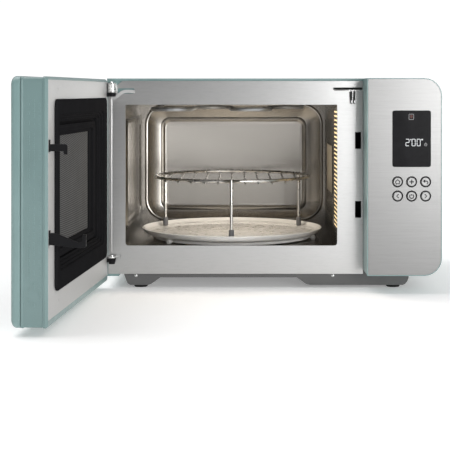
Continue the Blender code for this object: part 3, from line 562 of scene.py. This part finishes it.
def right_wall(bm):
    """A front part round the lamp's vent, and behind it a part with a shallow pressed panel."""
    def place(u, v, height):
        return Vector((INNER_HIGH.x - height, u, v))
    split = mm(96)
    (low_u, low_v), (high_u, high_v) = WALL
    nested(bm, [(((low_u, low_v), (split, high_v)), 0.0, 0.0), (VENT, 0.0, 0.0)],
           place, filled=False)
    rear = ((split, low_v), (high_u, high_v))
    panel = ((split + mm(8), mm(84)), (high_u - mm(6), mm(252)))
    rings = [(rear, 0.0, 0.0), (inset(rear, mm(3)), 0.0, 0.0)]
    rings += [(panel, mm(10), 0.0), (inset(panel, mm(1.4)), mm(9), mm(0.5)),
              (inset(panel, mm(3.4)), mm(8), mm(0.9)), (inset(panel, mm(5.5)), mm(7), mm(0.5)),
              (inset(panel, mm(7.5)), mm(6), 0.0)]
    nested(bm, rings, place)


def ceiling(bm):
    flat = ((INNER_LOW.x, FRONT_EDGE), (INNER_HIGH.x, INNER_HIGH.y))
    panel = inset(flat, mm(26))
    rings = [(flat, 0.0, 0.0), (inset(flat, mm(4)), 0.0, 0.0), (panel, mm(30), 0.0),
             (inset(panel, mm(3)), mm(28), mm(2)), (inset(panel, mm(6)), mm(26), mm(2.4))]
    nested(bm, rings, lambda u, v, height: Vector((u, v, INNER_HIGH.z - height)))


def oven_floor(bm):
    """The floor has a pressed rim round the table and a raised track for the rollers."""
    flat = ((INNER_LOW.x, FRONT_EDGE), (INNER_HIGH.x, INNER_HIGH.y))
    rings = [(flat, 0.0, 0.0), (inset(flat, mm(3)), 0.0, 0.0)]
    for radius, height in ((143, 0), (142, 0.25), (140.5, 0.3), (126, 0.3), (124, 0), (122, 0),
                           (64, 0), (61, 1.4), (58, 2.0), (30, 2.0), (26, 3.2), (20, 3.6)):
        reach = mm(radius)
        square = ((TABLE.x - reach, TABLE.y - reach), (TABLE.x + reach, TABLE.y + reach))
        rings.append((square, reach, mm(height)))
    nested(bm, rings, lambda u, v, height: Vector((u, v, INNER_LOW.z + height)))


RECESS = ((across(-206.9), mm(72.5)), (across(93.6), mm(268.8)))
DISH = ((across(-178.9), mm(92)), (across(64.1), mm(243.5)))


def back_wall(bm):
    """A rounded bead, slopes running back from it, and a flat dish with a bright edge."""
    flat = ((INNER_LOW.x, INNER_LOW.z), (INNER_HIGH.x, INNER_HIGH.z))
    rings = [(flat, 0.0, 0.0), (inset(flat, mm(3)), 0.0, 0.0),
             (inset(RECESS, mm(-3.2)), mm(37), 0.0), (inset(RECESS, mm(-1.8)), mm(35.6), mm(0.8)),
             (RECESS, mm(34), mm(1.2)), (inset(RECESS, mm(1.6)), mm(32.6), mm(0.7)),
             (inset(RECESS, mm(3.0)), mm(31.4), mm(-0.8)),
             (inset(DISH, mm(-6.0)), mm(17), mm(-9.2)),
             (inset(DISH, mm(-4.4)), mm(15.5), mm(-9.6)),
             (inset(DISH, mm(-2.4)), mm(13.5), mm(-8.6)), (DISH, mm(12), mm(-8.4)),
             (inset(DISH, mm(1.6)), mm(10.4), mm(-9.2)), (inset(DISH, mm(3.4)), mm(9), mm(-10.6)),
             (inset(DISH, mm(6)), mm(7), mm(-11.0))]
    nested(bm, rings, lambda u, v, height: Vector((u, INNER_HIGH.y - height, v)), steps=10)


def make_cavity():
    """The liner: five pressed walls whose meeting edges are rounded."""
    bm = bmesh.new()
    for wall in (left_wall, right_wall, ceiling, oven_floor, back_wall):
        wall(bm)
    bmesh.ops.remove_doubles(bm, verts=bm.verts, dist=mm(0.01))
    folds = [edge for edge in bm.edges if len(edge.link_faces) == 2
             and edge.calc_face_angle(0) > math.radians(75)]
    bmesh.ops.bevel(bm, geom=folds, offset=mm(2.4), segments=3, affect="EDGES",
                    clamp_overlap=True)
    bmesh.ops.recalc_face_normals(bm, faces=bm.faces)
    liner = piece_from(bm, "cavity_liner", "cabinet", OVEN_STEEL, 28)
    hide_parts("oven_cavity")


def make_vent():
    """The lamp's vent: a sheet of round holes, each filled by the glow of the lamp behind."""
    columns, tiers, dip = 8, 28, mm(0.15)
    (low_u, low_v), (high_u, high_v) = VENT
    cell = ((high_u - low_u) / columns, (high_v - low_v) / tiers)
    sheet, glow = bmesh.new(), bmesh.new()

    def on_wall(u, v, height):
        return Vector((INNER_HIGH.x - height, u, v))

    for column in range(columns):
        for row in range(tiers):
            low = (low_u + column * cell[0], low_v + row * cell[1])
            high = (low[0] + cell[0], low[1] + cell[1])
            middle = ((low[0] + high[0]) / 2, (low[1] + high[1]) / 2)
            radius = mm(1.9)
            hole = inset((middle, middle), -radius)
            nested(sheet, [((low, high), 0.0, 0.0), (hole, radius, 0.0), (hole, radius, -dip)],
                   on_wall, False, 3)
            nested(glow, [(hole, radius, -dip), (inset(hole, mm(0.6)), radius - mm(0.6), mm(0.1)),
                          (inset(hole, mm(1.3)), radius - mm(1.3), mm(0.3))], on_wall, True, 3)
    piece_from(sheet, "lamp_vent", "cabinet", OVEN_STEEL)
    piece_from(glow, "lamp_glow", "cabinet", AMBER, 60)


# ---------------------------------------------------------------- the front plate

def make_hinge_bead():
    """The rounded upright between the hinges, at the plate's left edge."""
    bm = bmesh.new()
    centre_x, low, high = FASCIA_LOW.x + mm(3.9), mm(52), mm(282.4)
    loops = []
    for k in range(9):
        angle = math.pi * k / 8
        x, rise = centre_x - mm(1.9) * math.cos(angle), mm(0.4) * math.sin(angle)
        loops.append([bm.verts.new((x, FACE_Y - rise * share, z)) for z, share in
                      ((low, 0), (low + mm(2), 1), (high - mm(2), 1), (high, 0))])
    skin(bm, loops, closed=False)
    bead = piece_from(bm, "hinge_side_bead", "cabinet", FRONT_STEEL, 50)


def make_stop_slot():
    """A turned-out lip under the slot at the upper right, and two bent tabs below it."""
    bm = bmesh.new()
    left, right, z = across(92.5), across(134.9), mm(294.3)
    turn = bow((left + mm(2.5), z + mm(2.0)), mm(2.5), 180, 260, 6)
    lip = [(left, z + mm(2.6)), *turn, (right, z - mm(0.5))]
    strip(bm, lip, mm(1.3), mm(1.3), facing_front(FACE_Y))
    bevelled(bm, mm(0.3))
    piece_from(bm, "stop_slot_lip", "cabinet", CHROME)

    bm = bmesh.new()
    for top_x, lean in ((117.1, 1.0), (123.1, -0.8)):
        path = [(across(top_x), mm(291.4)), (across(top_x + lean * 0.4), mm(284)),
                (across(top_x + lean), mm(274.4))]
        strip(bm, path, mm(1.7), mm(1.5), facing_front(FACE_Y))
    bevelled(bm, mm(0.4))
    piece_from(bm, "stop_slot_tabs", "cabinet", TAB_STEEL)


def make_hinge_fittings():
    """Grooved knuckles on the two pins, and the ribbon spring of the upper one."""
    x, y = HINGE_AXIS.x, HINGE_AXIS.y
    bm = bmesh.new()
    profile = [(0, 304.9), (5.4, 304.9), (6.4, 304.3), (6.6, 303.4), (6.6, 300.0), (6.3, 299.7),
               (6.3, 299.3), (6.6, 299.0), (6.6, 295.4), (6.2, 295.0), (6.2, 294.6), (6.6, 294.2),
               (6.6, 291.4), (6.2, 290.5), (5.0, 290.1), (0, 290.1)]
    turned(bm, [(mm(r), mm(z)) for r, z in profile], (x, y, 0))
    turned(bm, [(mm(r), mm(z)) for r, z in ((0, 306.6), (1.7, 306.6), (2.3, 306.1), (2.4, 304))],
           (x, y, 0), steps=24)
    knuckle = piece_from(bm, "hinge_knuckle_upper", "cabinet", CHROME)
    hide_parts("hinge_bracket_upper")

    bm = bmesh.new()
    profile = [(0, 49.6), (2.0, 49.6), (2.5, 49.2), (2.6, 48.2), (5.6, 48.2), (6.5, 47.6),
               (6.7, 46.5), (6.4, 45.4), (5.4, 45.0), (2.6, 44.9), (2.6, 38.6), (0, 38.6)]
    turned(bm, [(mm(r), mm(z)) for r, z in profile], (x, y, 0))
    add_box(bm, (x - mm(2), y, mm(45.3)), (x + mm(5), y + mm(18), mm(47.7)))
    knuckle = piece_from(bm, "hinge_knuckle_lower", "cabinet", CHROME)
    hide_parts("hinge_bracket_lower")
    bm = bmesh.new()
    add_box(bm, (across(-239.6), FACE_Y - mm(0.02), mm(44.3)),
            (across(-224.4), y + mm(18), mm(48.7)))
    piece_from(bm, "hinge_tongue_lower", "cabinet", FRONT_STEEL)

    bm = bmesh.new()
    path = [(-203.4, 291.6), (-208, 292.1), (-213, 292.4), (-218, 292.0), (-221.6, 290.8),
            (-224.6, 288.6), (-227.6, 286.0), (-231, 283.6), (-235, 282.2), (-238.5, 282.0)]
    strip(bm, [(across(u), mm(v)) for u, v in path], mm(4.6), mm(1.6),
          facing_front(FACE_Y - mm(0.4)))
    bevelled(bm, mm(0.5), 3)
    piece_from(bm, "hinge_ribbon", "cabinet", DOOR_STEEL)

    bm = bmesh.new()
    depth = FASCIA_HIGH.y + mm(0.6)
    add_box(bm, (across(-241.0), depth, mm(284)), (across(-202), depth + mm(0.8), mm(306)))
    piece_from(bm, "hinge_backing_plate", "cabinet", PAINT)


# ---------------------------------------------------------------- controls

SEGMENTS = {"top": ((0, 2), (1, 2)), "middle": ((0, 1), (1, 1)), "bottom": ((0, 0), (1, 0)),
            "upper_left": ((0, 1), (0, 2)), "upper_right": ((1, 1), (1, 2)),
            "lower_left": ((0, 0), (0, 1)), "lower_right": ((1, 0), (1, 1))}
FIGURES = {"0": ("top", "bottom", "upper_left", "upper_right", "lower_left", "lower_right"),
           "2": ("top", "upper_right", "middle", "lower_left", "bottom")}


def add_figure(bm, figure, left, low, width, height, stroke, place):
    """A seven-segment figure, each segment a bar with pointed ends."""
    for segment in FIGURES[figure]:
        ends = []
        for column, row in SEGMENTS[segment]:
            ends.append(Vector((left + column * width, low + row * height / 2)))
        along = (ends[1] - ends[0]).normalized()
        side = Vector((-along.y, along.x)) * stroke / 2
        start, end = ends[0] + along * stroke * 0.15, ends[1] - along * stroke * 0.15
        corners = [start, start + along * stroke / 2 - side, end - along * stroke / 2 - side,
                   end, end - along * stroke / 2 + side, start + along * stroke / 2 + side]
        rows = [[bm.verts.new(place(p.x, p.y, h)) for p in corners] for h in (0, mm(0.06))]
        skin(bm, rows)
        bm.faces.new(rows[1])


def make_display():
    """Seven-segment time, its ticks, a small dial and a framed symbol, behind-glass thin."""
    place = facing_front(DISPLAY_LOW.y - mm(0.02))
    bm = bmesh.new()
    low, height, width, stroke = mm(213.7), mm(9.6), mm(4.6), mm(0.62)
    for figure, left in (("2", 192.4), ("0", 201.2), ("0", 208.5)):
        add_figure(bm, figure, across(left), low, width, height, stroke, place)
    for x in (199.5, 215.1, 216.5):
        tick = [(across(x), low + height + mm(0.4)), (across(x), low + height - mm(1.6))]
        strip(bm, tick, mm(0.7), mm(0.06), place)
    piece_from(bm, "display_figures", "cabinet", DIGITS)

    bm = bmesh.new()
    dial = (across(220.9), mm(215.4))
    strip(bm, bow(dial, mm(1.8), 0, 360, 20), mm(0.5), mm(0.06), place)
    strip(bm, [(dial[0], dial[1] + mm(0.9)), dial, (dial[0] + mm(0.7), dial[1])], mm(0.4),
          mm(0.06), place)
    strip(bm, [(dial[0] - mm(0.6), dial[1] + mm(2.6)), (dial[0] + mm(0.6), dial[1] + mm(2.6))],
          mm(0.5), mm(0.06), place)
    frame_box = outline((across(196.9), mm(251.6)), (across(203.7), mm(259.4)), mm(0.8), 4)
    strip(bm, frame_box + frame_box[:1], mm(0.5), mm(0.06), place)
    piece_from(bm, "display_symbols", "cabinet", DIM_DIGITS)

    bm = bmesh.new()
    for z in (254.2, 255.8, 257.4):
        strip(bm, [(across(198.5), mm(z)), (across(202.1), mm(z))], mm(0.6), mm(0.05), place)
    piece_from(bm, "display_heat_bars", "cabinet",
               glowing("display_red", (0.35, 0.12, 0.10), 0.3))


def button_strokes():
    """The six symbols as strokes in millimetres round the button's centre."""
    house = [(-2.3, 0.2), (0, 2.4), (2.3, 0.2), (1.7, -2.1), (-1.7, -2.1), (-2.3, 0.2)]
    plus = [[(-2.5, 0), (2.5, 0)], [(0, -2.5), (0, 2.5)]]
    back = [[(-0.6, 2.1), (-2.4, 0.8), (-0.6, -0.5)],
            [(-2.2, 0.8), (0.8, 0.8)] + bow((0.8, -0.7), 1.5, 90, -80, 8)]
    left = [[(1.0, 2.1), (-1.1, 0), (1.0, -2.1)]]
    right = [[(-1.0, 2.1), (1.1, 0), (-1.0, -2.1)]]
    power = [bow((0, -0.2), 2.2, 125, 415, 18), [(0, 0.4), (0, 2.4)]]
    return {1: [house], 2: plus, 3: back, 4: left, 5: power, 6: right}


def make_button_symbols():
    for number, strokes in button_strokes().items():
        low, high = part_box(f"button_{number}")
        centre = (low + high) / 2
        bm = bmesh.new()
        for stroke in strokes:
            path = [(centre.x + mm(u) * 1.35, centre.z + mm(v) * 1.35) for u, v in stroke]
            strip(bm, path, mm(1.5), mm(0.1), facing_front(low.y))
        symbol = piece_from(bm, f"button_{number}_symbol", f"button_{number}_key", ICON)
        bm = bmesh.new()
        ring = [(5.9, 0.02), (6.0, 0.16), (6.3, 0.16), (6.45, -0.1), (6.45, -0.6)]
        turned(bm, [(mm(r), mm(h)) for r, h in ring], (centre.x, low.y + mm(0.8), centre.z), True)
        piece_from(bm, f"button_{number}_rim", f"button_{number}_key", RIM_GREY)


# ---------------------------------------------------------------- door details

DOOR_BOX = ((mm(-5), mm(9.5)), (mm(371.5), mm(310.5)))
GLASS_BOX = ((mm(30), mm(44)), (mm(326), mm(276)))


def in_door(u, v, height):
    """u runs along the door, v is up and height is measured from the inner face outwards."""
    return Vector((u, height, v))


def lofted(bm, rings, steps=8):
    """Rings as in nested, laid out in the door's own frame and left open at the last."""
    nested(bm, rings, in_door, False, steps)


def make_door_shell():
    """The door's painted front: a domed rim, a bed round the glass and a dark groove behind."""
    bm = bmesh.new()
    bed = inset(GLASS_BOX, mm(-0.4))
    rings = [(inset(bed, mm(1.5)), mm(1), mm(-48.6)), (bed, mm(2.2), mm(-48.6)),
             (bed, mm(2.2), mm(-52.2)), (inset(bed, mm(-0.7)), mm(2.8), mm(-53.0)),
             (inset(DOOR_BOX, mm(9)), mm(4), mm(-53.0))]
    for step in range(1, 9):
        angle = math.radians(90 * step / 8)
        outwards = math.sin(angle)
        rings.append((inset(DOOR_BOX, mm(8.0) * (1 - outwards)), mm(4 + 6 * outwards),
                      mm(-53.0) + mm(6.5) * (1 - math.cos(angle))))
    rings += [(DOOR_BOX, mm(10), mm(-41.3)), (inset(DOOR_BOX, mm(0.5)), mm(9.5), mm(-40.7)),
              (inset(DOOR_BOX, mm(2.5)), mm(7.5), mm(-40.5)),
              (inset(DOOR_BOX, mm(7)), mm(5), mm(-40.5))]
    lofted(bm, rings)
    bmesh.ops.recalc_face_normals(bm, faces=bm.faces)
    shell = piece_from(bm, "door_shell", "door", PAINT, 34, door_place())
    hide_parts("door_bezel")


def make_door_sides():
    """The frame behind the shell: sunk bands between lips and a chamfer at the inner edge."""
    bm = bmesh.new()
    box = inset(DOOR_BOX, mm(0.4))
    inner = ((mm(-3.2), mm(19.2)), (mm(368.4), mm(306.3)))
    sunk = inset(box, mm(0.8))
    rings = [(inset(box, mm(3)), mm(4), mm(-40.3)), (inset(box, mm(0.7)), mm(5), mm(-40.1)),
             (box, mm(5), mm(-39.5)), (box, mm(5), mm(-37.6)),
             (inset(box, mm(0.25)), mm(5), mm(-37.2)),
             (sunk, mm(4.6), mm(-36.8)), (sunk, mm(4.6), mm(-13.6)),
             (inset(box, mm(0.25)), mm(5), mm(-13.2)), (box, mm(5), mm(-12.8)),
             (box, mm(5), mm(-10.0)), (inset(box, mm(0.7)), mm(4.4), mm(-9.2)),
             (inset(box, mm(2.2)), mm(3), mm(-7.7)), (inset(box, mm(2.9)), mm(2), mm(-7.15)),
             (inner, mm(0.6), mm(-7.1)), (inner, mm(0.6), mm(-8.6)), (inner, mm(0.6), mm(-38))]
    lofted(bm, rings)
    bmesh.ops.recalc_face_normals(bm, faces=bm.faces)
    # The sides take the teal darkened as painted shade.
    sides = piece_from(bm, "door_sides", "door", SIDE_PAINT_SHADED, 34, door_place())
    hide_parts("door_frame")


def make_choke():
    """The black moulding over the door's choke: a flange, stepped ridges and a raised ring."""
    bm = bmesh.new()
    flange = ((mm(16), mm(48.7)), (mm(337), mm(282.7)))
    rim = ((mm(30.5), mm(71.4)), (mm(320), mm(263.4)))
    ring = ((mm(50), mm(83)), (mm(303), mm(250)))
    window = ((mm(69), mm(97.5)), (mm(284), mm(235.5)))
    rings = []
    for box, steps in (
            (flange, ((3, 8, 6.9), (0, 10, 6.6), (0, 10, 4.8), (0.4, 9.7, 4.0), (1.3, 9, 3.6),
                      (2.6, 8, 3.5))),
            (rim, ((-2.4, 12, 3.5), (-1.0, 11, 3.9), (0, 10, 5.0), (0.5, 9.6, 7.6), (2.2, 9, 8.0),
                   (3.0, 8.6, 8.4), (3.4, 8.2, 10.6), (5.6, 7.6, 11.0), (6.2, 7.2, 11.5),
                   (6.6, 7, 13.6), (8.6, 6.6, 14.0), (9.2, 6.2, 14.5), (9.6, 6, 19.0),
                   (10.4, 6, 19.5))),
            (ring, ((-1.2, 8.6, 19.5), (-0.4, 8.2, 19.1), (0, 8, 15.2), (0.7, 7.6, 14.5),
                    (3.2, 7, 14.4), (4.0, 6.6, 14.9), (5.2, 6.2, 14.9), (6.0, 5.8, 14.4),
                    (8.6, 5.4, 14.5), (9.4, 5, 15.2), (10.0, 5, 18.9), (10.8, 4.4, 19.4))),
            (window, ((-1.4, 2.6, 19.4), (-0.5, 1.8, 19.8), (0, 1.4, 20.6), (0, 1.4, 21.9)))):
        for inwards, radius, depth in steps:
            rings.append((inset(box, mm(inwards)), mm(radius), mm(-depth)))
    lofted(bm, rings, steps=6)
    bmesh.ops.recalc_face_normals(bm, faces=bm.faces)
    # The ridges' lighter edges are painted highlights from the seal's finish.
    choke = piece_from(bm, "choke_moulding", "door", SEAL_PAINTED_SHEEN, 40, door_place())
    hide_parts("choke_cover")


def make_door_marks():
    """Columns of small raised dashes on the free end's side, and dimples on the inner plate."""
    place = door_place()
    draw = random.Random(4)
    side = 370.3
    bm = bmesh.new()
    for v, low, high in ((-30.3, 40, 282), (-23.9, 36, 284), (-17.3, 44, 278)):
        z = low
        while z < high:
            length = draw.uniform(1.4, 5.5)
            if draw.random() < 0.78:
                add_box(bm, mm(side, v - 1.2, z), mm(side + 0.45, v + 1.2, z + length))
            z += length + draw.uniform(0.9, 1.6)
    # The dashes take the same painted-shade teal as the sides.
    marks = piece_from(bm, "door_side_marks", "door", SIDE_PAINT_SHADED, place=place)

    bm = bmesh.new()
    for z in (296, 34.5):
        centre = (mm(316.7), mm(-7), mm(z))
        profile = [(2.6, 0.02), (1.7, -0.35), (0.6, -0.55), (0, -0.58)]
        turned(bm, [(mm(r), mm(h)) for r, h in profile], centre, True, 20)
    dimples = piece_from(bm, "door_plate_dimples", "door", DOOR_STEEL, 60, place)


# ---------------------------------------------------------------- back and base details

def make_rear_screws():
    """Domed heads down both edges of the rear panel."""
    bm = bmesh.new()
    radius = mm(3.4)
    profile = [(1, 0), (0.96, 0.3), (0.75, 0.52), (0.4, 0.6), (0, 0.62)]
    for x in (COVER_LOW.x + mm(11), COVER_HIGH.x - mm(14)):
        for z in (mm(52), mm(165), mm(284)):
            head = [(radius * r, -radius * h) for r, h in profile]
            turned(bm, head, (x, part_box("rear_panel")[1].y, z), True, 20)
    piece_from(bm, "rear_screws", "cabinet", CHROME, 40)


# ---------------------------------------------------------------- room, light and camera

def make_floor():
    bm = bmesh.new()
    corners = ((-30, -3), (30, -3), (30, 40), (-30, 40))
    bm.faces.new([bm.verts.new((x, y, 0)) for x, y in corners])
    mesh = bpy.data.meshes.new("floor")
    bm.to_mesh(mesh)
    bm.free()
    material, tree, shader = new_shader("pale_floor", (0.92, 0.92, 0.92), 0.65,
                                        Emission_Color=(1, 1, 1, 1), Emission_Strength=0.24)
    tree.links.new(mixed(tree, ranged(tree, noise(tree, 3), 0, 1), (0.915, 0.915, 0.915),
                         (0.93, 0.93, 0.93)), shader.inputs["Base Color"])
    mesh.materials.append(material)
    floor = bpy.data.objects.new("floor", mesh)
    bpy.context.scene.collection.objects.link(floor)


def make_world():
    """White surroundings, darker towards the left front so that bright metal has a gradient."""
    world = bpy.data.worlds.new("studio")
    bpy.context.scene.world = world
    world.use_nodes = True
    tree = world.node_tree
    background = tree.nodes["Background"]
    place = tree.nodes.new("ShaderNodeTexCoord")
    split = tree.nodes.new("ShaderNodeSeparateXYZ")
    tree.links.new(place.outputs["Generated"], split.inputs["Vector"])
    tone = mixed(tree, ranged(tree, split.outputs["X"], 0, 1, -0.15, 0.4), (0.19, 0.19, 0.193),
                 (0.70, 0.70, 0.70))
    path = tree.nodes.new("ShaderNodeLightPath")
    seen = mixed(tree, path.outputs["Is Camera Ray"], tone, (1.05, 1.05, 1.05))
    tree.links.new(seen, background.inputs["Color"])
    background.inputs["Strength"].default_value = 1.0


def area_light(name, place, target, size, watts, colour=(1, 1, 1)):
    data = bpy.data.lights.new(name, "AREA")
    data.shape = "RECTANGLE"
    data.size, data.size_y = size
    data.energy = watts
    data.color = colour
    light = bpy.data.objects.new(name, data)
    light.location = place
    light.rotation_euler = (Vector(target) - Vector(place)).to_track_quat("-Z", "Y").to_euler()
    bpy.context.scene.collection.objects.link(light)
    return light


def make_lights():
    sun = bpy.data.lights.new("sky_panel", "SUN")
    sun.energy = 2.0
    sun.angle = math.radians(55)
    sky = bpy.data.objects.new("sky_panel", sun)
    sky.rotation_euler = Vector((-0.45, 0.22, 1)).to_track_quat("Z", "Y").to_euler()
    bpy.context.scene.collection.objects.link(sky)
    area_light("right_front", (1.1, -2.5, 0.32), (0.12, 0, 0.16), (1.1, 1.1), 36)
    lamp = bpy.data.lights.new("cavity_glow", "POINT")
    lamp.energy = 2.4
    lamp.color = (1, 0.9, 0.76)
    lamp.shadow_soft_size = 0.06
    glow = bpy.data.objects.new("cavity_glow", lamp)
    glow.visible_glossy = False
    glow.location = (TABLE.x, TABLE.y - mm(20), mm(240))
    bpy.context.scene.collection.objects.link(glow)


def make_camera():
    """A level camera in front of the oven, a little above its middle, looking straight in."""
    right_of_plate_edge, distance, height = mm(196), mm(1850), mm(292)
    data = bpy.data.cameras.new("camera")
    data.sensor_width = 36
    data.lens = 99.44
    data.shift_x, data.shift_y = -0.0333, -0.2967
    camera = bpy.data.objects.new("camera", data)
    camera.location = (FASCIA_LOW.x + right_of_plate_edge, FACE_Y - distance, height)
    camera.rotation_euler = (math.radians(90), 0, 0)
    bpy.context.scene.collection.objects.link(camera)
    bpy.context.scene.camera = camera
    bpy.context.scene.view_settings.view_transform = "Standard"


def main():
    make_camera()
    make_world()
    make_lights()
    make_floor()
    finish_nodes()
    make_cavity()
    make_vent()
    make_hinge_bead()
    make_stop_slot()
    make_hinge_fittings()
    make_display()
    make_button_symbols()
    make_door_shell()
    make_door_sides()
    make_choke()
    make_door_marks()
    make_rear_screws()


main()
